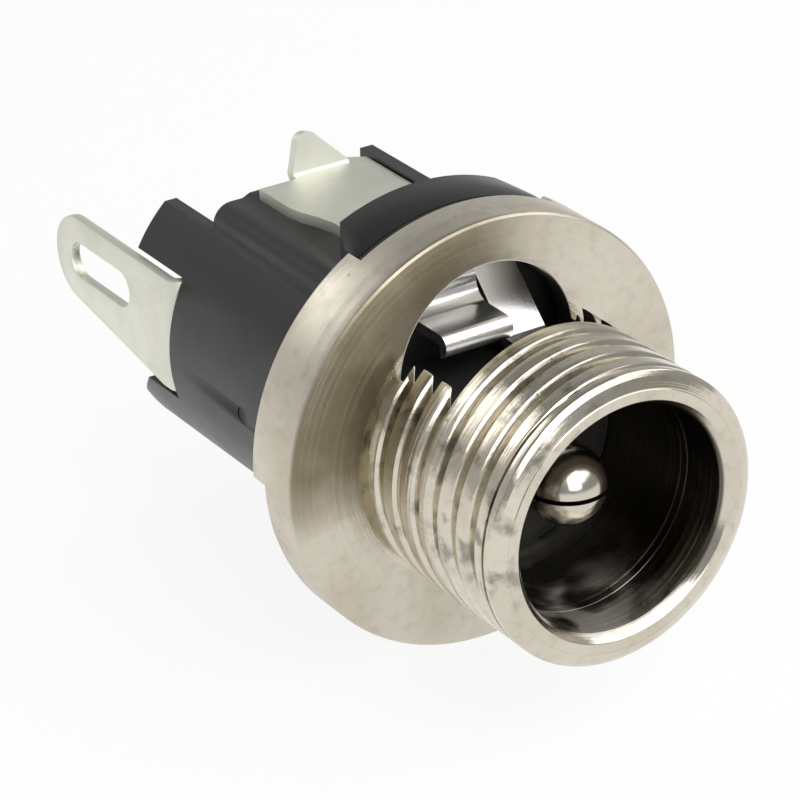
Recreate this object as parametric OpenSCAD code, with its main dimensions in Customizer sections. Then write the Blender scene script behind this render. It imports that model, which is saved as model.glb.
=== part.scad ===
// Panel mount DC power jack, 5.5 mm plug, 2.1 mm centre pin, with a threaded
// metal barrel, a round flange and solder lugs on a plastic rear body.
// The barrel axis is Y, the mouth faces -Y, the window and the top lug face +Z.
// The origin is where the barrel axis meets the flange face that seats on a panel.

/* [Barrel] */
// outer diameter over the thread crests (5/16 inch)
barrel_d = 7.94; // [6:0.01:12]
// length of the barrel from the flange face to the mouth
barrel_len = 5.8; // [4:0.1:10]
// distance from one thread crest to the next (32 per inch)
thread_pitch = 0.794; // [0.5:0.001:1.2]
// depth of the thread from crest to root
thread_depth = 0.42; // [0.2:0.01:0.6]
// width of the flat on top of a thread crest
crest_flat = 0.16; // [0.05:0.01:0.3]
// plain neck between the flange face and the first thread flank
neck_len = 0.2; // [0.1:0.05:1]
// diameter of the bore the plug goes into
bore_d = 6.2; // [5:0.1:8]
// bevel round the inside of the mouth
mouth_bevel = 0.25; // [0.1:0.05:0.6]
// bevel round the outside of the mouth
nose_bevel = 0.24; // [0.1:0.02:0.6]

/* [Flange] */
// flange diameter
flange_d = 12; // [10:0.1:18]
// thickness of the flange disc
flange_t = 1.4; // [0.8:0.1:3]
// height of the two raised rim pieces behind the flange disc
rim_h = 0.55; // [0.3:0.05:1.5]
// radial width of the raised rim
rim_w = 1.1; // [0.6:0.1:2]
// angle from the top to the start of each rim piece
rim_from = 30; // [15:1:60]
// angle from the top to the end of each rim piece
rim_to = 92; // [70:1:120]
// bevel on the flange edge
flange_bevel = 0.12; // [0.05:0.01:0.3]

/* [Window] */
// diameter of the off-centre pocket milled in from behind
pocket_d = 5.3; // [4:0.1:6]
// height of the pocket centre above the barrel axis
pocket_up = 2.17; // [1.5:0.01:3]
// sideways place of the pocket centre
pocket_side = -0.1; // [-0.5:0.05:0.5]
// how far the pocket reaches past the flange face
pocket_reach = 2.35; // [1:0.05:3]

/* [Body] */
// diameter of the plastic body
body_d = 8.8; // [8:0.1:12]
// distance from the flange face to the rear end of the body
body_end = 11.1; // [9:0.1:16]
// distance from the flange face to the back of the top block
block_end = 8.5; // [6:0.1:12]
// width of the top block
block_w = 6; // [4:0.1:7]
// height of the top block above the axis
block_top = 4.05; // [3.5:0.05:5]
// corner radius of the top block
block_r = 0.55; // [0.1:0.05:1]
// height of the guard wall beside the top lug
guard_top = 4.45; // [4.2:0.05:6]
// thickness of the guard wall
guard_t = 0.4; // [0.3:0.05:1]
// outer radius of the key that fills the gap between the rim pieces
key_r = 5.9; // [5:0.05:6]
// distance from the flange face to the back of the key
key_end = 3.2; // [2:0.1:5]
// depth of the open cup at the rear
cup_depth = 2.4; // [1:0.1:4]
// diameter inside the cup
cup_d = 6.8; // [5:0.1:8]
// height of the post between the side gap and the open top of the rear cup
cup_top = 3.25; // [2.5:0.05:4.4]
// distance of the open top's near side from the axis
cup_open = 2.6; // [1:0.1:3]
// height of the cup wall beyond the open top
cup_low = 2.3; // [1:0.1:3]
// bevel on the lower corner of the cup's side gap
cup_bevel = 0.8; // [0.2:0.1:1.5]
// distance from the flange face to the plastic nose inside the barrel
nose_reach = 0.9; // [0:0.1:2]
// height of the flat on the plastic nose under the contact
nose_top = 1.9; // [1.5:0.05:2.5]
// depth of the seat that the body sits in behind the flange
seat_h = 0.8; // [0.4:0.1:1.2]

/* [Centre pin] */
// centre pin diameter
pin_d = 2.1; // [1.3:0.1:2.5]
// distance from the flange face to the pin tip
pin_reach = 4.35; // [3:0.05:5.5]
// width of the split in the pin
split_w = 0.16; // [0.1:0.02:0.4]
// depth of the split
split_depth = 2.2; // [1:0.1:3]
// shank diameter inside the body
shank_d = 1.6; // [1:0.1:2]
// diameter of the riveted tail
rivet_d = 2.5; // [2:0.1:3]
// height of the riveted tail
rivet_h = 0.45; // [0.2:0.05:1]

/* [Lugs] */
// sheet thickness of the lugs and the contact
sheet_t = 0.3; // [0.2:0.05:0.6]
// inner radius of the bends
bend_in = 0.15; // [0.1:0.05:0.5]
// width of the side lug at its root
side_w = 3; // [2:0.1:4]
// height of the side lug's centre line above the axis
side_up = 0.5; // [0:0.1:0.8]
// distance of the outer face of the side lug from the axis
side_out = 4.2; // [3.5:0.05:4.4]
// distance from the flange face to the tip of the side lug
side_end = 15.2; // [12:0.1:20]
// radius of the side lug tip
side_tip_r = 1.25; // [0.8:0.05:1.45]
// width of the wire slot
slot_w = 1.05; // [0.6:0.05:1.4]
// length of the wire slot
slot_len = 3.2; // [1.5:0.1:4]
// metal left between the wire slot and the tip
slot_edge = 0.85; // [0.5:0.05:1.5]
// width of the top lug
top_w = 3.5; // [2:0.1:4]
// distance from the flange face to the back of the wide part of the top lug
top_end = 8.15; // [6:0.05:10]
// how far the top lug's corner beside the tip reaches past that
top_ear = 0.35; // [0.1:0.05:1]
// length of the bent up tip of the top lug past its bend
top_tip_len = 1; // [0.5:0.1:4]
// angle of the bent up tip
top_tip_angle = 75; // [0:1:90]
// radius of the top lug tip
top_tip_r = 0.34; // [0.3:0.02:1]
// distance from the centre line to the tip's left side
tip_left = 0.6; // [0.3:0.05:1.5]
// distance from the centre line to the tip's right side
tip_right = 1.15; // [0.3:0.05:1.5]

/* [Contact] */
// width of the spring leg
leg_w = 1.25; // [0.8:0.05:2]
// width of the slit between the spring leg and the finger
slit_w = 0.1; // [0.1:0.05:0.4]
// distance from the flange face to the start of the slit
slit_from = 2.05; // [1.6:0.05:3]
// slope of the spring leg
leg_slope = 45; // [20:1:60]
// height of the spring leg's lowest part
leg_low = 2.4; // [2:0.05:3]
// how far the spring leg reaches past the flange face
leg_reach = 2.2; // [1:0.1:2.3]
// how far the finger's left side is set in
finger_in = 0.1; // [0:0.05:0.5]
// distance from the flange face to the middle of the finger's upright wall
finger_y = 1.35; // [1:0.05:1.5]
// height of the finger's shelf
finger_up = 3.19; // [2.8:0.01:3.6]
// middle radius of the bend between the upright wall and the shelf
finger_r = 0.65; // [0.3:0.05:1]
// middle radius of the roll at the finger's end
roll_r = 0.15; // [0.15:0.05:0.4]
// distance from the roll's centre to the flange face
roll_y = 0.15; // [0:0.05:1]

/* [Fits] */
// gap on each side of pressed in pieces
press_gap = 0.02; // [0.01:0.01:0.1]
// gap on each side of pieces that are slid in
slide_gap = 0.05; // [0.02:0.01:0.2]

/* [Hidden] */
round_n = 96;
small_n = 48;
arc_n = 12;
cut = 0.01;
over = 1;
barrel_r = barrel_d / 2;
bore_r = bore_d / 2;
flange_r = flange_d / 2;
root_r = barrel_r - thread_depth;
body_r = body_d / 2;
pin_r = pin_d / 2;
shank_r = shank_d / 2;
rivet_r = rivet_d / 2;
pocket_r = pocket_d / 2;
rim_in = flange_r - rim_w;
rim_end = flange_t + rim_h;
seat_r = body_r - (body_r - barrel_r) / 2;
skirt_r = rim_in - slide_gap;
skirt_end = rim_end + slide_gap;
key_half = rim_from - asin(slide_gap / rim_in);
flank = (thread_pitch - 2 * crest_flat) / 2;
crests = floor((barrel_len - nose_bevel - crest_flat - neck_len - flank) / thread_pitch);
last_root = neck_len + crests * thread_pitch;
floor_y = body_end - cup_depth;
bend_mid = bend_in + sheet_t / 2;
bend_out = bend_in + sheet_t;
lug_lo = side_up - side_w / 2;
lug_hi = side_up + side_w / 2;
lug_gap = 2 * slide_gap;
channel_w = top_w + 2 * slide_gap;
plate_z = block_top + sheet_t / 2;
plate_top = block_top + sheet_t;

// 2D shape in radius and distance forward from the flange, turned about Y
module turned(fn = round_n) rotate([90, 0, 0]) rotate_extrude($fn = fn) children();
// 2D shape in Y and Z, drawn out along X about a centre
module along_x(w, mid = 0) translate([mid, 0, 0]) rotate([90, 0, 90])
    linear_extrude(height = w, center = true) children();
// 2D shape in X and Z, drawn out along Y from y0 to y1
module along_y(y0, y1) translate([0, y1, 0]) rotate([90, 0, 0])
    linear_extrude(height = y1 - y0) children();
// round bar along Y
module bar(r, y0, y1, fn = round_n) translate([0, y1, 0]) rotate([90, 0, 0])
    cylinder(r = r, h = y1 - y0, $fn = fn);

// sector of a ring about Y, angles counted from the top, + towards +X
module sector(r_in, r_out, y0, y1, a0, a1) rotate([90, 0, 0]) rotate([0, 0, 90 - a1])
    rotate_extrude(angle = a1 - a0, $fn = round_n)
        translate([r_in, -y1]) square([r_out - r_in, y1 - y0]);

// points of an arc, direction vector and a band of even thickness along a path
function arc(c, r, a0, a1, n) =
    [for (i = [0:n]) c + r * [cos(a0 + (a1 - a0) * i / n), sin(a0 + (a1 - a0) * i / n)]];
function unit(v) = v / norm(v);
function side(p, i) = let (a = p[max(i - 1, 0)], b = p[min(i + 1, len(p) - 1)], u = unit(b - a))
    [-u[1], u[0]];
function band(p, t) = concat(
    [for (i = [0:len(p) - 1]) p[i] + side(p, i) * t / 2],
    [for (i = [len(p) - 1:-1:0]) p[i] - side(p, i) * t / 2]);

// outline of the shell in radius and distance forward
function crest_pts(i) = let (h = neck_len + i * thread_pitch) [
    [root_r, h], [barrel_r, h + flank],
    [barrel_r, h + flank + crest_flat], [root_r, h + 2 * flank + crest_flat]];
shell_pts = concat(
    [[bore_r, -flange_t], [flange_r - flange_bevel, -flange_t],
     [flange_r, -flange_t + flange_bevel], [flange_r, -flange_bevel],
     [flange_r - flange_bevel, 0], [root_r, 0]],
    [for (i = [0:crests - 1]) each crest_pts(i)],
    [[root_r, last_root], [barrel_r, last_root + flank],
     [barrel_r, barrel_len - nose_bevel],
     [barrel_r - nose_bevel, barrel_len],
     [bore_r + mouth_bevel, barrel_len], [bore_r, barrel_len - mouth_bevel]]);

module shell() color("silver") difference() {
    union() {
        turned() polygon(shell_pts);
        for (s = [-1, 1]) sector(rim_in, flange_r - cut, flange_t - flange_bevel - cut, rim_end,
            s > 0 ? rim_from : -rim_to, s > 0 ? rim_to : -rim_from);
    }
    bar(seat_r, flange_t - seat_h, flange_t + over);
    translate([pocket_side, 0, pocket_up]) bar(pocket_r, -pocket_reach, flange_t + over);
}

// cross section of the body through its top block
module block_2d() {
    half = block_w / 2;
    translate([-half, 0]) square([block_w, block_top - block_r]);
    translate([-half + block_r, 0]) square([block_w - 2 * block_r, block_top]);
    for (s = [-1, 1]) translate([s * (half - block_r), block_top - block_r])
        circle(r = block_r, $fn = small_n);
}

module body() color([0.13, 0.13, 0.13]) difference() {
    union() {
        bar(body_r, flange_t, body_end);
        bar(seat_r - press_gap, flange_t - seat_h, flange_t + cut);
        bar(bore_r - press_gap, -nose_reach, flange_t);
        bar(skirt_r, flange_t, skirt_end);
        sector(bore_r, key_r, flange_t, key_end, -key_half, key_half);
        along_y(skirt_end - cut, block_end) block_2d();
        translate([channel_w / 2, skirt_end, 0]) cube([guard_t, floor_y - skirt_end, guard_top]);
    }
    // flat on the nose and room for the contact inside the shell
    translate([-flange_r, -nose_reach - over, nose_top])
        cube([flange_d, nose_reach + over + flange_t, flange_r]);
    // well behind the finger's upright wall and the spring leg
    translate([-channel_w / 2, flange_t - over, finger_up + bend_in])
        cube([channel_w, slit_from + over - flange_t + lug_gap, block_top - finger_up]);
    // passage for the top lug under the key, and the flat it lies on
    translate([-channel_w / 2, flange_t - cut, block_top])
        cube([channel_w, key_end, sheet_t + slide_gap]);
    translate([-flange_r, key_end, block_top])
        cube([flange_r + channel_w / 2, body_end, flange_r]);
    // rear cup, its post and low wall, and the side gap for the lug
    bar(cup_d / 2, floor_y, body_end + over);
    translate([-flange_r, floor_y, cup_top]) cube([flange_d, cup_depth + over, flange_r]);
    translate([-cup_open, floor_y, cup_low]) cube([flange_d, cup_depth + over, flange_r]);
    translate([-flange_r, floor_y, lug_lo - lug_gap])
        cube([flange_r, cup_depth + over, side_w + 2 * lug_gap]);
    translate([-flange_r / 2, body_end, lug_lo - lug_gap]) rotate([45, 0, 0])
        cube([flange_r, cup_bevel * sqrt(2), cup_bevel * sqrt(2)], center = true);
    // hole for the pin shank
    bar(shank_r + press_gap, -nose_reach - over, floor_y + over, small_n);
}

module centre_pin() color([0.8, 0.78, 0.7]) difference() {
    dome_h = pin_reach - pin_r;
    tail_y = floor_y + sheet_t;
    union() {
        turned(small_n) intersection() {
            union() {
                translate([0, dome_h]) circle(r = pin_r, $fn = round_n);
                translate([0, nose_reach]) square([pin_r, dome_h - nose_reach]);
            }
            translate([0, nose_reach]) square([pin_d, pin_reach]);
        }
        bar(shank_r, -nose_reach - cut, tail_y + cut, small_n);
        // riveted tail
        translate([0, tail_y, 0]) turned(small_n) polygon([
            [0, 0], [rivet_r, 0], [rivet_r, -rivet_h / 2], [shank_r, -rivet_h], [0, -rivet_h]]);
    }
    translate([-pin_d, -pin_reach - over, -split_w / 2])
        cube([2 * pin_d, split_depth + over, split_w]);
}

// wire slot of the side lug in Y and Z
module slot_2d() {
    ends = [side_end - slot_edge - slot_w / 2, side_end - slot_edge - slot_len + slot_w / 2];
    mid = lug_hi - side_tip_r;
    for (y = ends) translate([y, mid]) circle(d = slot_w, $fn = small_n);
    translate([ends[1], mid - slot_w / 2]) square([ends[0] - ends[1], slot_w]);
}

// side lug: flat strip across the cup floor, bent back along the flank
module side_lug() color([0.85, 0.85, 0.8]) {
    bend_c = [-side_out + bend_out, floor_y + bend_out];
    difference() {
        union() {
            // strip on the cup floor and the eye round the pin
            translate([bend_c[0], floor_y, lug_lo]) cube([-bend_c[0], sheet_t, side_w]);
            bar(rivet_r + slide_gap, floor_y, floor_y + sheet_t, small_n);
            // bend
            translate([bend_c[0], bend_c[1], lug_lo]) intersection() {
                difference() {
                    cylinder(r = bend_out, h = side_w, $fn = small_n);
                    translate([0, 0, -over]) cylinder(r = bend_in, h = side_w + 2 * over, $fn = small_n);
                }
                translate([-over, -over, 0]) cube([over, over, side_w]);
            }
            // blade that narrows to its round tip
            along_x(sheet_t, -side_out + sheet_t / 2) hull() {
                translate([bend_c[1], lug_lo]) square([sheet_t, side_w]);
                translate([side_end - side_tip_r, lug_hi - side_tip_r])
                    circle(r = side_tip_r, $fn = small_n);
            }
        }
        bar(shank_r + press_gap, floor_y - over, floor_y + over, small_n);
        along_x(2 * over, -side_out) slot_2d();
    }
}

// side view paths of the contact in Y and Z, along the middle of the sheet
plate_path = [[top_end, plate_z], [slit_from, plate_z]];
roll_c = [-roll_y, finger_up - roll_r];
finger_path = concat(
    [[slit_from + sheet_t, plate_z]],
    arc([finger_y + bend_mid, plate_z - bend_mid], bend_mid, 90, 180, arc_n),
    arc([finger_y - finger_r, finger_up + finger_r], finger_r, 0, -90, arc_n),
    arc(roll_c, roll_r, 90, 260, arc_n));
leg_turn = bend_mid * tan(leg_slope / 2);
leg_drop = plate_z - leg_low;
leg_foot = slit_from - leg_turn - leg_drop / tan(leg_slope);
leg_path = concat(
    [[slit_from + sheet_t, plate_z]],
    arc([slit_from, plate_z - bend_mid], bend_mid, 90, 90 + leg_slope, arc_n),
    arc([leg_foot - leg_turn, leg_low + bend_mid], bend_mid, leg_slope - 90, -90, arc_n),
    [[-leg_reach, leg_low]]);

// bent up tip of the top lug, narrowing to a round end
module lug_tip() {
    bend_c = [top_end, plate_z + bend_mid];
    width = tip_left + tip_right;
    along_x(width, (tip_right - tip_left) / 2) polygon(band(concat(
        [[top_end - sheet_t, plate_z]],
        arc(bend_c, bend_mid, -90, top_tip_angle - 90, arc_n)), sheet_t));
    translate([0, bend_c[0], bend_c[1]]) rotate([top_tip_angle, 0, 0])
        translate([0, -cut, -bend_out]) linear_extrude(height = sheet_t) hull() {
            translate([-tip_left, 0]) square([width, cut]);
            translate([0, top_tip_len - top_tip_r]) circle(r = top_tip_r, $fn = small_n);
        }
}

module top_contact() color([0.85, 0.85, 0.8]) {
    half = top_w / 2;
    finger_w = top_w - finger_in - leg_w - slit_w;
    along_x(top_w) polygon(band(plate_path, sheet_t));
    translate([tip_right + lug_gap, top_end - cut, block_top])
        cube([half - tip_right - lug_gap, top_ear + cut, sheet_t]);
    lug_tip();
    along_x(leg_w, half - leg_w / 2) polygon(band(leg_path, sheet_t));
    along_x(finger_w, finger_in - half + finger_w / 2) polygon(band(finger_path, sheet_t));
}

shell();
body();
centre_pin();
side_lug();
top_contact();
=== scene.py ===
"""Looks for the panel mount DC power jack: a finer mesh for each CAD piece, procedural metals and
plastic, a pale studio and the camera."""

import math

import bmesh
import bpy
from mathutils import Matrix, Vector


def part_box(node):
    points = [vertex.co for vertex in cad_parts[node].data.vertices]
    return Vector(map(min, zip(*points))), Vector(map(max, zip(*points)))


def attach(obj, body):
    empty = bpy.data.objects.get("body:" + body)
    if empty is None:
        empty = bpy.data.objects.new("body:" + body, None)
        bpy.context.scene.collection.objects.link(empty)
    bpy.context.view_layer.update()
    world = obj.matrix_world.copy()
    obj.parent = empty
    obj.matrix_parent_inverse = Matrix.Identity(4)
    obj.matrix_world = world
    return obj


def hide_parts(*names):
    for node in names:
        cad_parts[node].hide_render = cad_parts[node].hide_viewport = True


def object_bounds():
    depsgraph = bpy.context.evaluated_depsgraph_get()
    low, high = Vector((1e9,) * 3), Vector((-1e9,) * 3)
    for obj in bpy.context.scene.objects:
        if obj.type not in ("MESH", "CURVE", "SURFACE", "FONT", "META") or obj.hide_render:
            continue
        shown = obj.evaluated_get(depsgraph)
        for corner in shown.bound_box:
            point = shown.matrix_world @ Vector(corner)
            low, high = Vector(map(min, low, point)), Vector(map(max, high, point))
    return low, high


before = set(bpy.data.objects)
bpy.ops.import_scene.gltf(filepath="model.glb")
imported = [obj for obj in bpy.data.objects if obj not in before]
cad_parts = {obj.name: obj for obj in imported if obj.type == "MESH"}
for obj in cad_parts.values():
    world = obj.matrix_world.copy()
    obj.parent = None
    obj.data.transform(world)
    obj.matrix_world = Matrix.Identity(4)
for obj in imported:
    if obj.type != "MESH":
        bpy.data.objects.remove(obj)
cad_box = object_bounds()

MM = 0.001
SHELL_LO, SHELL_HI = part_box("shell")
BODY_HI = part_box("body")[1]
PIN_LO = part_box("centre_pin")[0]
LUG_LO, LUG_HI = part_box("side_lug")
TOP_LO, TOP_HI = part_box("top_contact")

# sizes in millimetres: the outer ones come from the frame. Most others follow the CAD source; the
# thread's shape, nose, mouth, scores, key corners, slit and strip edge are finer here or the scene's own
OVER = 1  # how far a cutter reaches past what it cuts
LAP = 0.1  # how far joined parts reach into each other
TOUCH = 0.01  # the same, where there is little room
GAP = 0.05  # round pieces that are slid in
PRESS_GAP = 0.02  # round pieces that are pressed in
BODY_ROUND, LUG_ROUND, CONTACT_ROUND = 0.06, 0.05, 0.04  # asked for, see soften

# shell
FLANGE_R = SHELL_HI.x / MM
BARREL_LEN = -SHELL_LO.y / MM
RIM_BACK = SHELL_HI.y / MM
FLANGE_T = 1.4
RIM_IN = 4.9
RIM_FROM, RIM_TO = 30, 92
FLANGE_BEVEL = 0.12
BARREL_R = 3.97
SINK = 0.15  # how far sleeve, thread and nose reach into each other
GROOVE = 0.36
PITCH = 0.794
CREST_SHARE, ROOT_SHARE, CROWN = 0.5, 0.06, 0.08
THREAD_COLUMNS, THREAD_ROWS, THREAD_TURNS = 240, 20, 10
SHELL_COLUMNS, FIRST_COLUMN, RIM_STEP = 240, 0.7, 0.02
NECK, RUN_IN = 0.2, 0.4 * PITCH
BORE_R = 3.1
MOUTH_BEVEL, MOUTH_DEPTH, MOUTH_IN = 0.2, 0.25, 0.04
SCORE_DEPTH, SCORES, NECK_END = 0.007, (4.2, 3.95), 0.3
NOSE_BEVEL, NOSE_LIP = 0.24, 0.4
NOSE_FROM, NOSE_TAPER = 0.55, 0.08
LINE_HALF, LINE_DEPTH = 0.02, 0.03
EDGE, ROOT_EDGE, FINE_EDGE, HAIR_EDGE, SHARP = 0.04, 0.05, 0.01, 0.003, 0.002
SEAT_R, SEAT_H = 4.185, 0.8
POCKET_R, POCKET_SIDE, POCKET_UP, POCKET_REACH = 2.65, -0.1, 2.17, 2.35

# body
BODY_R = 4.4
BODY_END = BODY_HI.y / MM
BLOCK_END, BLOCK_HALF, BLOCK_TOP, BLOCK_R = 8.5, 3.0, 4.05, 0.55
GUARD_TOP, GUARD_T = 4.45, 0.4
KEY_R, KEY_END = BODY_HI.z / MM, 3.2
KEY_HALF = 29.4
KEY_GAP, KEY_LIP, KEY_LIP_DEPTH, KEY_LIP_W = 0.06, 0.16, 0.06, 0.07
KEY_CORNER_X, KEY_CORNER_Y, KEY_CORNER_OUT = 0.6, 1.1, 0.05
SKIRT_R, SKIRT_BACK = 4.85, 2.0
CUP_R, CUP_FLOOR, CUP_TOP = 3.4, 8.7, 3.25
CUP_OPEN, CUP_LOW, CUP_BEVEL = 2.6, 2.3, 0.8
NOSE_R, NOSE_REACH, NOSE_TOP = 3.08, 0.9, 1.9
EJECTOR_R, EJECTOR_DEPTH, EJECTOR = 0.25, 0.03, (5.0, -0.3)

# centre pin
PIN_R, PIN_REACH = 1.05, -PIN_LO.y / MM
SHANK_R, SPLIT_W, SPLIT_DEPTH = 0.8, 0.13, 2.2
RIVET_R, RIVET_H = 1.25, 0.45

# sheet of both contacts
SHEET, BEND_MID = 0.3, 0.3
BEND_IN, BEND_OUT = BEND_MID - SHEET / 2, BEND_MID + SHEET / 2

# side lug. LUG_LOW is the bottom of its eye, so strip and blade, and the body's gap for them,
# reach 0.3 lower here than in the CAD source
LUG_LOW, LUG_HIGH = LUG_LO.z / MM, 2.0
LUG_OUT, LUG_END = -LUG_LO.x / MM, LUG_HI.y / MM
LUG_TIP_R = 1.25
SLOT_W, SLOT_LEN, SLOT_EDGE = 1.05, 3.2, 0.85

# top contact
PLATE_Z = BLOCK_TOP + SHEET / 2
PLATE_HALF = TOP_HI.x / MM
PLATE_END, EAR_REACH = 8.15, 0.35
TIP_LEFT, TIP_RIGHT, TIP_R, TIP_LEN, TIP_ANGLE = -0.6, 1.15, 0.34, 1.0, 75
SLIT_FROM, SLIT_W = 2.05, 0.1
LEG_W, LEG_SLOPE, LEG_LOW = 1.25, 45, 2.4
LEG_REACH = -TOP_LO.y / MM
FINGER_IN, FINGER_Y, FINGER_UP, FINGER_R = 0.1, 1.35, 3.19, 0.65
ROLL_R, ROLL_Y = 0.17, 0.13
STRIP_EDGE = [(-1.3, 3), (-1.32, 5.2), (-1.45, 5.7), (-1.68, 6.3), (-1.76, 6.8)]  # left edge, front to back

# where the shell's stains, painted reflection, painted shade and painted light lie, their colours and
# roughness, and the top contact's brighter, smoother front
ACROSS, BACKWARD = (1, 0, 0), (0, 1, 0)
REFLECTION_SIDE, SOOT_SIDE, BORE_LIGHT_SIDE = (-0.71, 0, 0.71), (-0.87, 0, 0.5), (-0.6, 0, -0.8)
BARREL_REFLECTION, SOOT, BORE_SHADE = (0.24, 0.205, 0.135), (0.2, 0.19, 0.16), (0.12, 0.105, 0.085)
BORE_LIGHT, POCKET_SHADE, CEILING_LIGHT = (0.78, 0.74, 0.67), (0.10, 0.085, 0.065), (0.85, 0.83, 0.78)
FLANGE_ROUGH, PATCH_ROUGH = 0.4, 0.5
FRONT_TIN, FRONT_ROUGH = (0.86, 0.85, 0.84), 0.27


# ---------------------------------------------------------------- meshes
def mesh_object(name, verts, faces):
    """Object from points in millimetres."""
    mesh = bpy.data.meshes.new(name)
    mesh.from_pydata([tuple(c * MM for c in v) for v in verts], [], faces)
    mesh.validate()
    obj = bpy.data.objects.new(name, mesh)
    bpy.context.scene.collection.objects.link(obj)
    return obj


def turned(name, angles, loop):
    """Closed ring about Y. loop(angle) gives (radius, distance forward) pairs; degrees run from +X to +Z."""
    verts = []
    for a in angles:
        c, s = math.cos(math.radians(a)), math.sin(math.radians(a))
        verts += [(r * c, -h, r * s) for r, h in loop(a)]
    columns = len(angles)
    rows = len(verts) // columns
    faces = []
    for i in range(columns):
        k = (i + 1) % columns
        for j in range(rows):
            m = (j + 1) % rows
            faces.append((i * rows + j, i * rows + m, k * rows + m, k * rows + j))
    return mesh_object(name, verts, faces)


def turned_solid(name, columns, profile):
    """Solid of revolution about Y whose profile starts and ends on the axis."""
    inner = profile[1:-1]
    verts = [(0, -profile[0][1], 0), (0, -profile[-1][1], 0)]
    rows = len(inner)
    for i in range(columns):
        a = 2 * math.pi * i / columns
        verts += [(r * math.cos(a), -h, r * math.sin(a)) for r, h in inner]
    faces = []
    for i in range(columns):
        k = (i + 1) % columns
        a, b = 2 + i * rows, 2 + k * rows
        faces.append((0, a, b))
        faces.append((1, b + rows - 1, a + rows - 1))
        for j in range(rows - 1):
            faces.append((a + j, a + j + 1, b + j + 1, b + j))
    return mesh_object(name, verts, faces)


def prism(name, outline, axis, lo, hi):
    """Outline drawn out along an axis. axis "x" takes (y, z), "y" takes (x, z), "z" takes (x, y)."""
    place = {
        "x": lambda u, v, w: (w, u, v),
        "y": lambda u, v, w: (u, w, v),
        "z": lambda u, v, w: (u, v, w),
    }
    n = len(outline)
    verts = [place[axis](u, v, w) for w in (lo, hi) for u, v in outline]
    faces = [tuple(range(n)), tuple(range(2 * n - 1, n - 1, -1))]
    faces += [(i, (i + 1) % n, (i + 1) % n + n, i + n) for i in range(n)]
    return mesh_object(name, verts, faces)


def box(name, lo, hi):
    outline = [(lo[0], lo[1]), (hi[0], lo[1]), (hi[0], hi[1]), (lo[0], hi[1])]
    return prism(name, outline, "z", lo[2], hi[2])


def arc(c, r, a0, a1, n):
    """n + 1 points on a circle about c, from one angle to the other."""
    steps = [math.radians(a0 + (a1 - a0) * i / n) for i in range(n + 1)]
    return [(c[0] + r * math.cos(a), c[1] + r * math.sin(a)) for a in steps]


def touch_angle(p, c, r, side):
    """Angle on the circle (c, r) where a line from p touches it; side 1 keeps the circle on the left."""
    reach = Vector(c) - Vector(p)
    line = math.degrees(math.atan2(reach.y, reach.x)) - side * math.degrees(math.asin(r / reach.length))
    return line - side * 90


def rounded(corners, steps=3):
    """Line through (u, v, radius) corners, each inner one rounded off."""
    out = [corners[0][:2]]
    for before, here, after in zip(corners, corners[1:], corners[2:]):
        p, r = Vector(here[:2]), here[2]
        u = (Vector(before[:2]) - p).normalized()
        w = (Vector(after[:2]) - p).normalized()
        half = u.angle(w) / 2
        centre = p + (u + w).normalized() * r / math.sin(half)
        start, end = p + u * r / math.tan(half) - centre, p + w * r / math.tan(half) - centre
        for k in range(steps + 1):
            out.append(tuple(centre + start.lerp(end, k / steps).normalized() * r))
    return out + [corners[-1][:2]]


def rod(name, r, y0, y1, centre=(0, 0), n=128):
    """Round rod along Y with n sides; centre is (x, z)."""
    return prism(name, arc(centre, r, 0, 360 * (1 - 1 / n), n - 1), "y", y0, y1)


def ring_part(name, r_in, r_out, y0, y1, a0, a1, n=48):
    """Part of a ring about Y; angles are counted from +Z towards +X."""
    outline = arc((0, 0), r_out, 90 - a0, 90 - a1, n) + arc((0, 0), r_in, 90 - a1, 90 - a0, n)
    return prism(name, outline, "y", y0, y1)


def tidy_normals(obj):
    bm = bmesh.new()
    bm.from_mesh(obj.data)
    bmesh.ops.recalc_face_normals(bm, faces=bm.faces)
    bm.to_mesh(obj.data)
    bm.free()


def combine(obj, other, operation):
    """Add the other object to obj or take it away, and delete it."""
    for o in (obj, other):
        tidy_normals(o)
    mod = obj.modifiers.new(operation, "BOOLEAN")
    mod.operation = operation
    mod.object = other
    mod.solver = "EXACT"
    apply_modifiers(obj)
    bpy.data.objects.remove(other)


def apply_modifiers(obj):
    graph = bpy.context.evaluated_depsgraph_get()
    mesh = bpy.data.meshes.new_from_object(obj.evaluated_get(graph))
    obj.modifiers.clear()
    obj.data = mesh


def join(obj, *others):
    for other in others:
        combine(obj, other, "UNION")


def cut(obj, *others):
    for other in others:
        combine(obj, other, "DIFFERENCE")


def drop_strays(obj):
    """Take out points that coincide, faces without area and faces that share all their points."""
    same_place = 1e-4 * MM
    bm = bmesh.new()
    bm.from_mesh(obj.data)
    bmesh.ops.remove_doubles(bm, verts=bm.verts, dist=same_place)
    bmesh.ops.dissolve_degenerate(bm, dist=same_place, edges=bm.edges)
    same = {}
    for f in bm.faces:
        same.setdefault(frozenset(v.index for v in f.verts), []).append(f)
    doubled = [f for faces in same.values() if len(faces) > 1 for f in faces]
    bmesh.ops.delete(bm, geom=doubled, context="FACES")
    bm.to_mesh(obj.data)
    bm.free()


def shade(obj, sharp_angle=32):
    """Smooth shading with sharp edges kept where faces meet at more than the angle."""
    drop_strays(obj)
    tidy_normals(obj)
    bm = bmesh.new()
    bm.from_mesh(obj.data)
    limit = math.radians(sharp_angle)
    for e in bm.edges:
        e.smooth = len(e.link_faces) == 2 and e.calc_face_angle(0) < limit
    for f in bm.faces:
        f.smooth = True
    bm.to_mesh(obj.data)
    bm.free()


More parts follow.
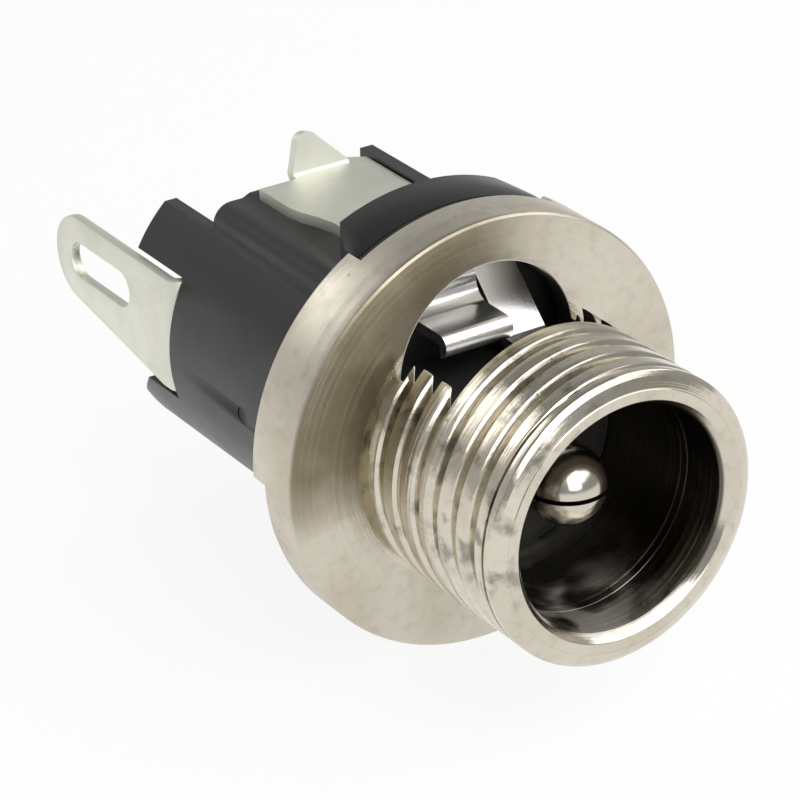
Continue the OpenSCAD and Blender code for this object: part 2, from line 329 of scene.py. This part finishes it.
def soften(obj, width, segments=2, angle=35, clamp=True):
    """Small round on every sharp edge. With clamp, one very short edge makes every round
    almost vanish: so it is on body and top contact, where rounds of full width would cross."""
    bm = bmesh.new()
    bm.from_mesh(obj.data)
    bmesh.ops.remove_doubles(bm, verts=bm.verts, dist=MM / 1000)
    bmesh.ops.dissolve_limit(bm, angle_limit=math.radians(1), verts=bm.verts, edges=bm.edges)
    bm.to_mesh(obj.data)
    bm.free()
    mod = obj.modifiers.new("soften", "BEVEL")
    mod.width = width * MM
    mod.segments = segments
    mod.limit_method = "ANGLE"
    mod.angle_limit = math.radians(angle)
    mod.harden_normals = False
    mod.use_clamp_overlap = clamp
    apply_modifiers(obj)


def finish_piece(obj, node, material):
    obj.data.materials.clear()
    obj.data.materials.append(material)
    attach(obj, "root")
    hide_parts(node)


# ---------------------------------------------------------------- pieces
def helix_rod(name, columns, rows_per_turn, start, turns, radius):
    """Closed rod about Y whose rows climb one pitch a turn. radius(t, h) takes the place in the
    pitch and the height."""
    rows = turns * rows_per_turn
    verts = [(0, -start - PITCH / 2, 0), (0, -start - PITCH * (turns + 0.5), 0)]
    for i in range(columns):
        a = 2 * math.pi * i / columns
        for j in range(rows):
            h = start + PITCH * (j / rows_per_turn + i / columns)
            r = radius(j / rows_per_turn, h)
            verts.append((r * math.cos(a), -h, r * math.sin(a)))

    def at(i, j):
        return 2 + i * rows + j

    last = columns - 1
    faces = [(at(i, j), at(i, j + 1), at(i + 1, j + 1), at(i + 1, j))
             for i in range(last) for j in range(rows - 1)]
    faces += [(at(last, j), at(last, j + 1), at(0, j + 1 + rows_per_turn), at(0, j + rows_per_turn))
              for j in range(rows - rows_per_turn - 1)]
    low = [at(i, 0) for i in range(columns)] + [at(0, j) for j in range(rows_per_turn, 0, -1)]
    high = [at(i, rows - 1) for i in range(columns)]
    high += [at(last, j) for j in range(rows - 2, rows - 2 - rows_per_turn, -1)]
    for centre, loop in ((0, low), (1, high)):
        faces += [(centre, a, b) for a, b in zip(loop, loop[1:] + loop[:1])]
    return mesh_object(name, verts, faces)


def thread_height(t):
    """Height of the thread, 0 to 1, at a place t in the pitch: wide crowned crest, narrow round groove."""
    away = abs((t % 1) - 0.5) * 2
    rise = min(1.0, max(0.0, (1 - ROOT_SHARE - away) / (1 - ROOT_SHARE - CREST_SHARE)))
    return rise * rise * (3 - 2 * rise) - CROWN * away * away


def make_thread():
    """Threaded sleeve, left inside the flange at one end and inside the nose at the other."""
    def radius(t, h):
        lift = min(1.0, max(0.0, (h - NECK) / RUN_IN))
        return BARREL_R - GROOVE * (1 - max(0, thread_height(t)) * lift)

    thread = helix_rod("thread", THREAD_COLUMNS, THREAD_ROWS, -1.5 * PITCH, THREAD_TURNS, radius)
    far = 2 * BARREL_LEN
    cut(
        thread,
        box("over_nose", (-far, -far, -far), (far, NOSE_FROM - BARREL_LEN, far)),
        box("behind", (-far, FLANGE_T / 4, -far), (far, far, far)),
        rod("sleeve", BORE_R + SINK, -far, far),
    )
    return thread


def score(h):
    """Fine turned line in the bore, at a height h, as corners of the shell's section."""
    return [(BORE_R, h, HAIR_EDGE), (BORE_R + SCORE_DEPTH, h - SCORE_DEPTH, HAIR_EDGE),
            (BORE_R, h - 2 * SCORE_DEPTH, HAIR_EDGE)]


def shell_profile(rim):
    """Section of the shell without its thread, through the raised rim or beside it, as corners
    (radius, height towards the mouth, round)."""
    sleeve = BARREL_R - GROOVE - SINK
    neck = BORE_R - MOUTH_IN
    lip = BARREL_R - NOSE_LIP
    back, rim_edge = (RIM_BACK, EDGE) if rim else (FLANGE_T + TOUCH, SHARP)
    flange = [
        (BORE_R, SEAT_H - FLANGE_T), (SEAT_R, SEAT_H - FLANGE_T, 0.03), (SEAT_R, -FLANGE_T, EDGE),
        (RIM_IN, -FLANGE_T, rim_edge), (RIM_IN, -back, rim_edge), (FLANGE_R, -back, FLANGE_BEVEL),
        (FLANGE_R, 0, FLANGE_BEVEL), (sleeve, 0, ROOT_EDGE),
    ]
    nose = [
        (sleeve, BARREL_LEN - NOSE_FROM - SINK, 0.02),
        (BARREL_R, BARREL_LEN - NOSE_FROM + NOSE_TAPER, EDGE),
        (BARREL_R, BARREL_LEN - NOSE_BEVEL, 0.06),
        (BARREL_R - NOSE_LIP / 3, BARREL_LEN - 0.6 * NOSE_BEVEL, 0.1),
    ]
    line = [
        (lip, BARREL_LEN - LINE_HALF, FINE_EDGE), (lip - LINE_HALF, BARREL_LEN - LINE_DEPTH, FINE_EDGE),
        (lip - 2 * LINE_HALF, BARREL_LEN, FINE_EDGE),
    ]
    bore = [
        (neck + MOUTH_BEVEL, BARREL_LEN, EDGE), (neck, BARREL_LEN - MOUTH_DEPTH, ROOT_EDGE),
        (neck, SCORES[0] + NECK_END, FINE_EDGE), *score(SCORES[0]), *score(SCORES[1]), (BORE_R, 0),
    ]
    return rounded(flange + nose + line + bore)


def make_shell(material):
    sections = {rim: shell_profile(rim) for rim in (True, False)}
    ends = [90 + s * e + d for s in (-1, 1) for e in (RIM_FROM, RIM_TO) for d in (-RIM_STEP, RIM_STEP)]
    even = [i * 360 / SHELL_COLUMNS + FIRST_COLUMN for i in range(SHELL_COLUMNS)]
    angles = sorted(even + [e % 360 for e in ends])

    def section(a):
        return sections[RIM_FROM < abs((a + 90) % 360 - 180) < RIM_TO]

    shell = turned("shell_turned", angles, section)
    join(shell, make_thread())
    cut(shell, rod("pocket", POCKET_R, -POCKET_REACH, FLANGE_T + OVER, (POCKET_SIDE, POCKET_UP)))
    shade(shell, 30)
    finish_piece(shell, "shell", material)


def rod_across(name, r, place, depth):
    """Short rod along X that dips into the body's flank at (y, z)."""
    skin = math.sqrt(BODY_R ** 2 - place[1] ** 2)
    return prism(name, arc(place, r, 0, 345, 23), "x", -skin - OVER, -skin + depth)


def block_outline():
    """Top block of the body, (x, z), with two round corners."""
    left, right = -BLOCK_HALF + BLOCK_R, BLOCK_HALF - BLOCK_R
    top = BLOCK_TOP - BLOCK_R
    return [(-BLOCK_HALF, 0), (BLOCK_HALF, 0)] + arc((right, top), BLOCK_R, 0, 90, 8) + arc(
        (left, top), BLOCK_R, 90, 180, 8)


def key_corner(side):
    """Chamfer at the back of the key, on the side -1 or 1."""
    x = KEY_R * math.sin(math.radians(KEY_HALF)) + KEY_CORNER_OUT
    return [(side * x, KEY_END + LAP), (side * x, KEY_END - KEY_CORNER_Y),
            (side * (x - KEY_CORNER_X), KEY_END + LAP)]


def body_cuts():
    """Cutters of the body, in the order in which they are used."""
    side = PLATE_HALF + GAP
    far = 2 * BODY_END
    corner = (BODY_END, LUG_LOW - 2 * GAP)
    lip = FLANGE_T + KEY_LIP
    return [
        box("nose_flat", (-far, -far, NOSE_TOP), (far, FLANGE_T, far)),
        box("well", (-side, 0, FINGER_UP + BEND_IN), (side, SLIT_FROM + 2 * GAP, BLOCK_TOP + BEND_IN)),
        box("passage", (-side, FLANGE_T - TOUCH, BLOCK_TOP),
            (side, FLANGE_T + KEY_END, BLOCK_TOP + SHEET + GAP)),
        box("lug_flat", (-far, KEY_END, BLOCK_TOP), (side, far, far)),
        rod("cup", CUP_R, CUP_FLOOR, far),
        box("cup_post", (-far, CUP_FLOOR, CUP_TOP), (far, far, far)),
        box("cup_open", (-CUP_OPEN, CUP_FLOOR, CUP_LOW), (far, far, far)),
        box("side_gap", (-far, CUP_FLOOR, LUG_LOW - 2 * GAP), (0, far, LUG_HIGH + 2 * GAP)),
        prism("corner", arc(corner, CUP_BEVEL, 0, 270, 3), "x", -far, 0),
        ring_part("key_lip", KEY_R - KEY_LIP_DEPTH, KEY_R + OVER, lip, lip + KEY_LIP_W, -RIM_FROM, RIM_FROM),
        *[prism("key_corner", key_corner(s), "z", BLOCK_TOP, far) for s in (-1, 1)],
        rod_across("ejector", EJECTOR_R, EJECTOR, EJECTOR_DEPTH),
        rod("pin_hole", SHANK_R + PRESS_GAP, -far, far, n=48),
    ]


def make_body(material):
    body = rod("body_moulded", BODY_R, FLANGE_T, BODY_END, n=160)
    guard = PLATE_HALF + GAP
    join(
        body,
        rod("seat", SEAT_R - PRESS_GAP, FLANGE_T - SEAT_H, FLANGE_T + LAP),
        rod("nose", NOSE_R, -NOSE_REACH, FLANGE_T),
        rod("skirt", SKIRT_R, FLANGE_T, SKIRT_BACK),
        ring_part("key", BORE_R, KEY_R, FLANGE_T + KEY_GAP, KEY_END, -KEY_HALF, KEY_HALF),
        prism("block", block_outline(), "y", SKIRT_BACK - LAP, BLOCK_END),
        box("guard", (guard, SKIRT_BACK, 0), (guard + GUARD_T, CUP_FLOOR, GUARD_TOP)),
    )
    cut(body, *body_cuts())
    soften(body, BODY_ROUND)
    shade(body)
    finish_piece(body, "body", material)


def make_pin(material):
    tail = -CUP_FLOOR - SHEET
    dome = arc((0, PIN_REACH - PIN_R), PIN_R, 90, 0, 24)
    rivet = rounded([
        (SHANK_R, tail), (RIVET_R, tail, EDGE), (RIVET_R, tail - RIVET_H / 2, 0.12),
        (SHANK_R, tail - RIVET_H, 0.2), (0, tail - RIVET_H)])
    pin = turned_solid("pin_turned", 96, dome + [(PIN_R, NOSE_REACH), (SHANK_R, NOSE_REACH)] + rivet)
    half, far = SPLIT_W / 2, 2 * OVER
    cut(pin, box("split", (-far, -PIN_REACH - OVER, -half), (far, -PIN_REACH + SPLIT_DEPTH, half)))
    shade(pin, 40)
    finish_piece(pin, "centre_pin", material)


def slot_outline():
    """Wire slot of the side lug, (y, z)."""
    up = LUG_HIGH - LUG_TIP_R
    far, near = LUG_END - SLOT_EDGE - SLOT_W / 2, LUG_END - SLOT_EDGE - SLOT_LEN + SLOT_W / 2
    return arc((far, up), SLOT_W / 2, -90, 90, 16) + arc((near, up), SLOT_W / 2, 90, 270, 16)


def make_side_lug(material):
    c = (-LUG_OUT + BEND_OUT, CUP_FLOOR + BEND_OUT)
    low_corner = (c[1] + SHEET, LUG_LOW)
    tip = (LUG_END - LUG_TIP_R, LUG_HIGH - LUG_TIP_R)
    blade = [(c[1], LUG_LOW), low_corner]
    blade += arc(tip, LUG_TIP_R, touch_angle(low_corner, tip, LUG_TIP_R, 1), 90, 32) + [(c[1], LUG_HIGH)]
    lug = prism("side_lug_stamped", blade, "x", -LUG_OUT, -LUG_OUT + SHEET)
    turn = arc(c, BEND_OUT, 180, 270, 12) + arc(c, BEND_IN, 270, 180, 12)
    join(
        lug,
        prism("turn", turn, "z", LUG_LOW, LUG_HIGH),
        box("strip", (c[0], CUP_FLOOR, LUG_LOW), (0, CUP_FLOOR + SHEET, LUG_HIGH)),
        rod("eye", RIVET_R + GAP, CUP_FLOOR, CUP_FLOOR + SHEET, n=64),
    )
    cut(
        lug,
        prism("slot", slot_outline(), "x", -LUG_OUT - OVER, -LUG_OUT + OVER),
        rod("hole", SHANK_R + PRESS_GAP, CUP_FLOOR - OVER, CUP_FLOOR + OVER, n=48),
    )
    soften(lug, LUG_ROUND, clamp=False)
    shade(lug)
    finish_piece(lug, "side_lug", material)


def band(path, t):
    """Outline of even thickness t along a path of (y, z) points."""
    left, right = [], []
    for i, p in enumerate(path):
        a, b = Vector(path[max(i - 1, 0)]), Vector(path[min(i + 1, len(path) - 1)])
        u = (b - a).normalized()
        n = Vector((-u.y, u.x)) * t / 2
        left.append((p[0] + n.x, p[1] + n.y))
        right.append((p[0] - n.x, p[1] - n.y))
    return left + right[::-1]


def finger_path():
    """Middle of the curled finger, (y, z), from the plate to its rolled end."""
    return [(SLIT_FROM + SHEET, PLATE_Z)] + arc(
        (FINGER_Y + BEND_MID, PLATE_Z - BEND_MID), BEND_MID, 90, 180, 12) + arc(
        (FINGER_Y - FINGER_R, FINGER_UP + FINGER_R), FINGER_R, 0, -90, 16) + arc(
        (-ROLL_Y, FINGER_UP - ROLL_R), ROLL_R, 90, 260, 14)


def leg_path():
    """Middle of the spring leg, (y, z), from the plate to its foot."""
    turn = BEND_MID * math.tan(math.radians(LEG_SLOPE / 2))
    foot = SLIT_FROM - turn - (PLATE_Z - LEG_LOW) / math.tan(math.radians(LEG_SLOPE))
    return [(SLIT_FROM + SHEET, PLATE_Z)] + arc(
        (SLIT_FROM, PLATE_Z - BEND_MID), BEND_MID, 90, 90 + LEG_SLOPE, 10) + arc(
        (foot - turn, LEG_LOW + BEND_MID), BEND_MID, LEG_SLOPE - 90, -90, 10) + [(-LEG_REACH, LEG_LOW)]


def lug_tip():
    """Blade of the bent up tip, turned up about the end of the plate."""
    c = (0, TIP_LEN - TIP_R)
    ends = touch_angle((TIP_RIGHT, 0), c, TIP_R, 1), touch_angle((TIP_LEFT, 0), c, TIP_R, -1)
    outline = [(TIP_LEFT, -TOUCH), (TIP_RIGHT, -TOUCH)] + arc(c, TIP_R, *ends, 20)
    tip = prism("tip", outline, "z", -BEND_OUT, -BEND_IN)
    hinge = Matrix.Translation(Vector((0, PLATE_END, PLATE_Z + BEND_MID)) * MM)
    tip.data.transform(hinge @ Matrix.Rotation(math.radians(TIP_ANGLE), 4, "X"))
    return tip


def make_top_contact(material):
    contact = prism("top_contact_stamped", band([(PLATE_END, PLATE_Z), (SLIT_FROM, PLATE_Z)], SHEET), "x",
                    -PLATE_HALF, PLATE_HALF)
    turn = [(PLATE_END - SHEET, PLATE_Z)] + arc(
        (PLATE_END, PLATE_Z + BEND_MID), BEND_MID, -90, TIP_ANGLE - 90, 12)
    ear = [(TIP_RIGHT - GAP, PLATE_END - TOUCH), (PLATE_HALF, PLATE_END - TOUCH),
           (PLATE_HALF, PLATE_END + EAR_REACH / 2), (TIP_RIGHT - GAP, PLATE_END + 1.5 * EAR_REACH)]
    join(
        contact,
        prism("ear", ear, "z", BLOCK_TOP, BLOCK_TOP + SHEET),
        prism("turn", band(turn, SHEET), "x", TIP_LEFT, TIP_RIGHT),
        lug_tip(),
        prism("leg", band(leg_path(), SHEET), "x", PLATE_HALF - LEG_W, PLATE_HALF),
        prism("finger", band(finger_path(), SHEET), "x", FINGER_IN - PLATE_HALF, PLATE_HALF - LEG_W - SLIT_W),
    )
    edge = [(-BLOCK_HALF, STRIP_EDGE[0][1]), *STRIP_EDGE, (-BLOCK_HALF, STRIP_EDGE[-1][1])]
    cut(contact, prism("strip_edge", edge, "z", BLOCK_TOP - OVER, BLOCK_TOP + OVER))
    soften(contact, CONTACT_ROUND)
    shade(contact, 25)
    finish_piece(contact, "top_contact", material)


# ---------------------------------------------------------------- materials
def node_material(name):
    mat = bpy.data.materials.new(name)
    mat.use_nodes = True
    tree = mat.node_tree
    return mat, tree, tree.nodes["Principled BSDF"]


def add(tree, kind, links=(), **values):
    """New node; values set attributes, or inputs by name with _ for a space; links are (output, input)."""
    node = tree.nodes.new(kind)
    for key, value in values.items():
        if hasattr(node, key):
            setattr(node, key, value)
        else:
            node.inputs[key.replace("_", " ")].default_value = value
    for source, target in links:
        tree.links.new(source, node.inputs[target])
    return node


def feed(tree, value, socket):
    """Link an output to the socket, or write a plain value on it."""
    if isinstance(value, bpy.types.NodeSocket):
        tree.links.new(value, socket)
    else:
        socket.default_value = value


def noise(tree, vector, scale, detail):
    """Noise with a scale in waves per millimetre."""
    node = add(tree, "ShaderNodeTexNoise", [(vector, "Vector")], Scale=scale / MM, Detail=detail)
    return node.outputs["Fac"]


def remap(tree, value, lo, hi, to_lo, to_hi):
    """Value carried from one range to another and held within it."""
    ends = {"From_Min": lo, "From_Max": hi, "To_Min": to_lo, "To_Max": to_hi}
    node = add(tree, "ShaderNodeMapRange", [(value, "Value")], **ends)
    return node.outputs["Result"]


def blend(tree, share, a, b):
    """Colour between a and b; a may be another colour output."""
    node = add(tree, "ShaderNodeMix", data_type="RGBA")
    tree.links.new(share, node.inputs[0])
    feed(tree, (*a, 1) if isinstance(a, tuple) else a, node.inputs[6])
    node.inputs[7].default_value = (*b, 1)
    return node.outputs[2]


def bump(tree, height, strength, depth, under=None):
    """Bump whose depth is in millimetres, laid over another normal."""
    node = add(tree, "ShaderNodeBump", [(height, "Height")], Distance=depth * MM)
    feed(tree, strength, node.inputs["Strength"])
    if under:
        tree.links.new(under, node.inputs["Normal"])
    return node.outputs["Normal"]


def maths(tree, operation, *values):
    """One math node on outputs or plain values."""
    node = add(tree, "ShaderNodeMath", operation=operation)
    for value, socket in zip(values, node.inputs):
        feed(tree, value, socket)
    return node.outputs[0]


def times(tree, first, *others):
    """Product of masks, taken from left to right."""
    for other in others:
        first = maths(tree, "MULTIPLY", first, other)
    return first


def axis_distance(tree, place, x=0, z=0):
    """Distance in metres from the line along Y through (x, z) in millimetres."""
    moved = add(tree, "ShaderNodeVectorMath", [(place, 0)], operation="SUBTRACT")
    moved.inputs[1].default_value = (x * MM, 0, z * MM)
    flat = add(tree, "ShaderNodeVectorMath", [(moved.outputs[0], 0)], operation="MULTIPLY")
    flat.inputs[1].default_value = (1, 0, 1)
    return add(tree, "ShaderNodeVectorMath", [(flat.outputs[0], 0)], operation="LENGTH").outputs["Value"]


def along(tree, place, direction):
    """Distance in metres from the origin in a direction."""
    node = add(tree, "ShaderNodeVectorMath", [(place, 0)], operation="DOT_PRODUCT")
    node.inputs[1].default_value = direction
    return node.outputs["Value"]


def turning_vector(tree, place):
    """Radius and distance along the barrel, so that a noise on it gives turning marks."""
    links = [(axis_distance(tree, place), "X"), (along(tree, place, BACKWARD), "Y")]
    return add(tree, "ShaderNodeCombineXYZ", links).outputs[0]


def specks(tree, vector, per_mm, size):
    """1 on the metal and 0 in small round pits, size in millimetres."""
    cells = add(tree, "ShaderNodeTexVoronoi", [(vector, "Vector")], Scale=per_mm / MM)
    return remap(tree, cells.outputs["Distance"], size * per_mm * 0.6, size * per_mm, 0, 1)


def span(tree, value, lo, hi, to_lo=0, to_hi=1):
    """Mask that runs between two distances in millimetres."""
    return remap(tree, value, lo * MM, hi * MM, to_lo, to_hi)


def reflection_mask(tree, place, patch, flange, radius, depth):
    """Upper left part of the flange's face, where the barrel's brown reflection and its shade are painted."""
    face = times(tree, flange, span(tree, depth, 0.05, 0.2, 1, 0))
    toward = maths(tree, "DIVIDE", along(tree, place, REFLECTION_SIDE), radius)
    sector = times(tree, face, remap(tree, toward, 0.5, 0.76, 0, 1))
    return times(tree, sector, remap(tree, patch, 0.3, 0.6, 0.55, 0.95))


def pocket_mask(tree, place, depth):
    """Walls of the milled pocket, painted dark as shade."""
    from_axis = axis_distance(tree, place, POCKET_SIDE, POCKET_UP)
    wall = span(tree, from_axis, POCKET_R + 0.01, POCKET_R + 0.04, 1, 0)
    return times(tree, wall, span(tree, depth, -POCKET_REACH - 0.03, -POCKET_REACH - 0.01))


def soot_mask(tree, place, radius):
    """Blotches on the left of the thread."""
    blotches = remap(tree, noise(tree, place, 1.4, 3), 0.54, 0.68, 0, 0.75)
    left = span(tree, along(tree, place, SOOT_SIDE), 1.5, 3)
    return times(tree, blotches, left, span(tree, radius, BARREL_R, BARREL_R + 0.05, 1, 0))


def bore_light_mask(tree, place, bore):
    """Painted light patches low in the bore, where the wall is rougher too."""
    low = span(tree, along(tree, place, BORE_LIGHT_SIDE), 0, 2.6)
    patches = remap(tree, noise(tree, place, 0.7, 2), 0.42, 0.58, 0.25, 1)
    return times(tree, low, bore, patches)


def shell_zones(tree, place, patch, base, rough, marks):
    """Duller flange, painted brown reflection of the barrel on one side of its face, soot on the thread,
    painted shade in the bore and on the pocket's walls, painted light low in the bore and on the pocket's
    ceiling.
    """
    radius, depth = axis_distance(tree, place), along(tree, place, BACKWARD)
    flange = span(tree, radius, BARREL_R + 0.02, BARREL_R + 0.12)
    bore = span(tree, radius, BORE_R + 0.01, BORE_R + 0.05, 1, 0)
    lit_patches = bore_light_mask(tree, place, bore)
    pocket = pocket_mask(tree, place, depth)
    # painted light: the pocket's ceiling is made pale so that the finger below reflects it bright
    lit_ceiling = times(tree, pocket, span(tree, along(tree, place, ACROSS), 1.2, 1.9, 1, 0))
    layers = (
        # painted reflection: the barrel's brown reflection and shade on the flange's face
        (reflection_mask(tree, place, patch, flange, radius, depth), BARREL_REFLECTION),
        (soot_mask(tree, place, radius), SOOT),
        # painted shade: the bore is darkened as a deep recess
        (bore, BORE_SHADE),
        # painted light: pale patches low in the bore
        (lit_patches, BORE_LIGHT),
        # painted shade: the pocket's walls are darkened
        (pocket, POCKET_SHADE),
        (lit_ceiling, CEILING_LIGHT),
    )
    for mask, colour in layers:
        base = blend(tree, mask, base, colour)
    rough = remap(tree, flange, 0, 1, rough, FLANGE_ROUGH)
    for mask in (lit_patches, pocket):
        links = [(mask, "Value"), (rough, "To Min")]
        rough = add(tree, "ShaderNodeMapRange", links, To_Max=PATCH_ROUGH).outputs["Result"]
    return base, rough, remap(tree, bore, 0, 1, marks, 1)


def contact_zones(tree, place, patch, base, rough, marks):
    """Brighter and smoother in front, inside the shell. It has no use for patch."""
    front = span(tree, along(tree, place, BACKWARD), 1.8, 3, 1, 0)
    return blend(tree, front, base, FRONT_TIN), remap(tree, front, 0, 1, rough, FRONT_ROUGH), marks


def metal(name, colour, worn, stain, wear, rough, marks, pits, zones=None):
    """Plated metal: colour drifts towards worn and stain, with turning marks, grain and pits."""
    mat, tree, bsdf = node_material(name)
    link = tree.links.new
    bsdf.inputs["Metallic"].default_value = 1.0
    place = add(tree, "ShaderNodeTexCoord").outputs["Object"]
    patch = noise(tree, place, 0.42, 6)
    grime = noise(tree, place, 2.6, 5)
    base = blend(tree, remap(tree, patch, 0.42, 0.7, 0, 1), colour, worn)
    base = blend(tree, remap(tree, grime, 0.5, 0.8, 0, wear), base, stain)
    pit = specks(tree, place, 1.1, pits)
    base = blend(tree, remap(tree, pit, 0, 1, 0.6, 0), base, stain)
    if zones:
        base, rough, marks = zones(tree, place, patch, base, rough, marks)
    link(base, bsdf.inputs["Base Color"])
    link(times(tree, rough, remap(tree, patch, 0.2, 0.8, 0.7, 1.3)), bsdf.inputs["Roughness"])
    round_it = turning_vector(tree, place)
    wide = bump(tree, noise(tree, round_it, 5, 3), marks, 0.03)
    fine = bump(tree, noise(tree, round_it, 26, 2), marks, 0.008, wide)
    grain = bump(tree, noise(tree, place, 9, 3), 0.3, 0.008, fine)
    link(bump(tree, pit, 0.12, 0.02, grain), bsdf.inputs["Normal"])
    return mat


def black_plastic():
    mat, tree, bsdf = node_material("black_plastic")
    link = tree.links.new
    place = add(tree, "ShaderNodeTexCoord").outputs["Object"]
    cloud = noise(tree, place, 0.5, 5)
    link(blend(tree, cloud, (0.014, 0.014, 0.0135), (0.026, 0.026, 0.025)), bsdf.inputs["Base Color"])
    link(remap(tree, cloud, 0.2, 0.8, 0.28, 0.42), bsdf.inputs["Roughness"])
    bsdf.inputs["Specular IOR Level"].default_value = 0.24
    link(bump(tree, noise(tree, place, 6, 4), 0.25, 0.015), bsdf.inputs["Normal"])
    return mat


# ---------------------------------------------------------------- studio
AZIMUTH, ELEVATION, ROLL = -33.4, 27.2, -0.9
DISTANCE = 92.4 * MM
LENS = 165.0
AIM = Vector((-2.43, 0.51, 1.475)) * MM
SENSOR = 36.0
FLOOR_HALF = 400
LAMP_DISTANCE = 150


def make_camera():
    a, e, r = (math.radians(v) for v in (AZIMUTH, ELEVATION, ROLL))
    back = Vector((math.sin(a) * math.cos(e), -math.cos(a) * math.cos(e), math.sin(e)))
    right = Vector((math.cos(a), math.sin(a), 0))
    up = back.cross(right)
    right, up = math.cos(r) * right + math.sin(r) * up, -math.sin(r) * right + math.cos(r) * up
    data = bpy.data.cameras.new("camera")
    data.lens = LENS
    data.sensor_width = SENSOR
    data.clip_start, data.clip_end = 1 * MM, 10
    camera = bpy.data.objects.new("camera", data)
    camera.matrix_world = Matrix.Translation(AIM + back * DISTANCE) @ Matrix(
        (right, up, back)).transposed().to_4x4()
    bpy.context.scene.collection.objects.link(camera)
    bpy.context.scene.camera = camera


def pale_to(tree, camera_share, glossy_share):
    """Share of plain white that camera rays and glossy rays see."""
    path = add(tree, "ShaderNodeLightPath").outputs
    seen = times(tree, path["Is Camera Ray"], camera_share)
    return maths(tree, "MULTIPLY_ADD", path["Is Glossy Ray"], glossy_share, seen)


def mix_to(tree, share, shader, white, output):
    """Surface of a material or world: the shader, mixed by share towards the white one."""
    mix = add(tree, "ShaderNodeMixShader")
    for socket, source in zip(mix.inputs, (share, shader.outputs[0], white.outputs[0])):
        tree.links.new(source, socket)
    tree.links.new(mix.outputs[0], tree.nodes[output].inputs["Surface"])


def make_floor():
    """Pale floor under the part that camera and reflections see almost white."""
    corners = [(-1, -1), (1, -1), (1, 1), (-1, 1)]
    floor = mesh_object("floor", [(FLOOR_HALF * x, FLOOR_HALF * y, 0) for x, y in corners], [(0, 1, 2, 3)])
    floor.location.z = cad_box[0].z
    mat, tree, bsdf = node_material("floor")
    bsdf.inputs["Base Color"].default_value = (0.88, 0.88, 0.87, 1)
    bsdf.inputs["Roughness"].default_value = 0.7
    mix_to(tree, pale_to(tree, 0.9, 0.85), bsdf, add(tree, "ShaderNodeEmission"), "Material Output")
    floor.data.materials.append(mat)


def make_world():
    """Mid grey studio, darker overhead and in front; the camera sees it white."""
    world = bpy.data.worlds.new("studio")
    bpy.context.scene.world = world
    world.use_nodes = True
    tree = world.node_tree
    back = tree.nodes["Background"]
    place = add(tree, "ShaderNodeTexCoord")
    split = add(tree, "ShaderNodeSeparateXYZ", [(place.outputs["Generated"], "Vector")])
    overhead = remap(tree, split.outputs["Z"], 0.5, 0.64, 0.48, 0.2)
    in_front = remap(tree, split.outputs["Y"], -0.6, 0.2, 0.6, 1)
    tree.links.new(times(tree, overhead, in_front), back.inputs["Strength"])
    back.inputs["Color"].default_value = (1, 1, 1, 1)
    white = add(tree, "ShaderNodeBackground", Color=(1, 1, 1, 1))
    mix_to(tree, pale_to(tree, 1, 0.1), back, white, "World Output")


def make_lamp(name, azimuth, elevation, width, height, radiance):
    """Soft box facing the origin. Azimuth runs from +Y to +X; width and height are angles seen from there."""
    a, e = math.radians(azimuth), math.radians(elevation)
    data = bpy.data.lights.new(name, "AREA")
    data.shape = "RECTANGLE"
    data.size, data.size_y = (2 * LAMP_DISTANCE * MM * math.tan(math.radians(v / 2)) for v in (width, height))
    data.energy = 4 * radiance * data.size * data.size_y
    lamp = bpy.data.objects.new(name, data)
    toward = Vector((math.sin(a) * math.cos(e), math.cos(a) * math.cos(e), math.sin(e)))
    lamp.location = toward * LAMP_DISTANCE * MM
    lamp.rotation_mode = "QUATERNION"
    lamp.rotation_quaternion = (-lamp.location).to_track_quat("-Z", "Y")
    lamp.visible_camera = False
    bpy.context.scene.collection.objects.link(lamp)


def make_lamps():
    make_lamp("back_box", -26, 31, 22, 26, 1.4)
    make_lamp("front_box", -168, 42, 34, 64, 2.6)
    make_lamp("high_box", 122, 50, 84, 40, 1.5)


def nickel_plate():
    return metal(
        "nickel", colour=(0.67, 0.625, 0.53), worn=(0.6, 0.55, 0.45), stain=(0.36, 0.33, 0.26),
        wear=0.4, rough=0.16, marks=0.45, pits=0.07, zones=shell_zones)


def pin_plate():
    return metal(
        "pin_nickel", colour=(0.80, 0.77, 0.70), worn=(0.74, 0.70, 0.62), stain=(0.5, 0.46, 0.38),
        wear=0.3, rough=0.17, marks=0.1, pits=0)


def tin_plate():
    return metal(
        "tinned", colour=(0.80, 0.80, 0.71), worn=(0.74, 0.75, 0.65), stain=(0.6, 0.6, 0.52),
        wear=0.25, rough=0.5, marks=0, pits=0.04, zones=contact_zones)


def main():
    tinned = tin_plate()
    make_shell(nickel_plate())
    make_body(black_plastic())
    make_pin(pin_plate())
    make_side_lug(tinned)
    make_top_contact(tinned)
    make_camera()
    make_floor()
    make_world()
    make_lamps()
    bpy.context.scene.view_settings.view_transform = "Standard"


main()
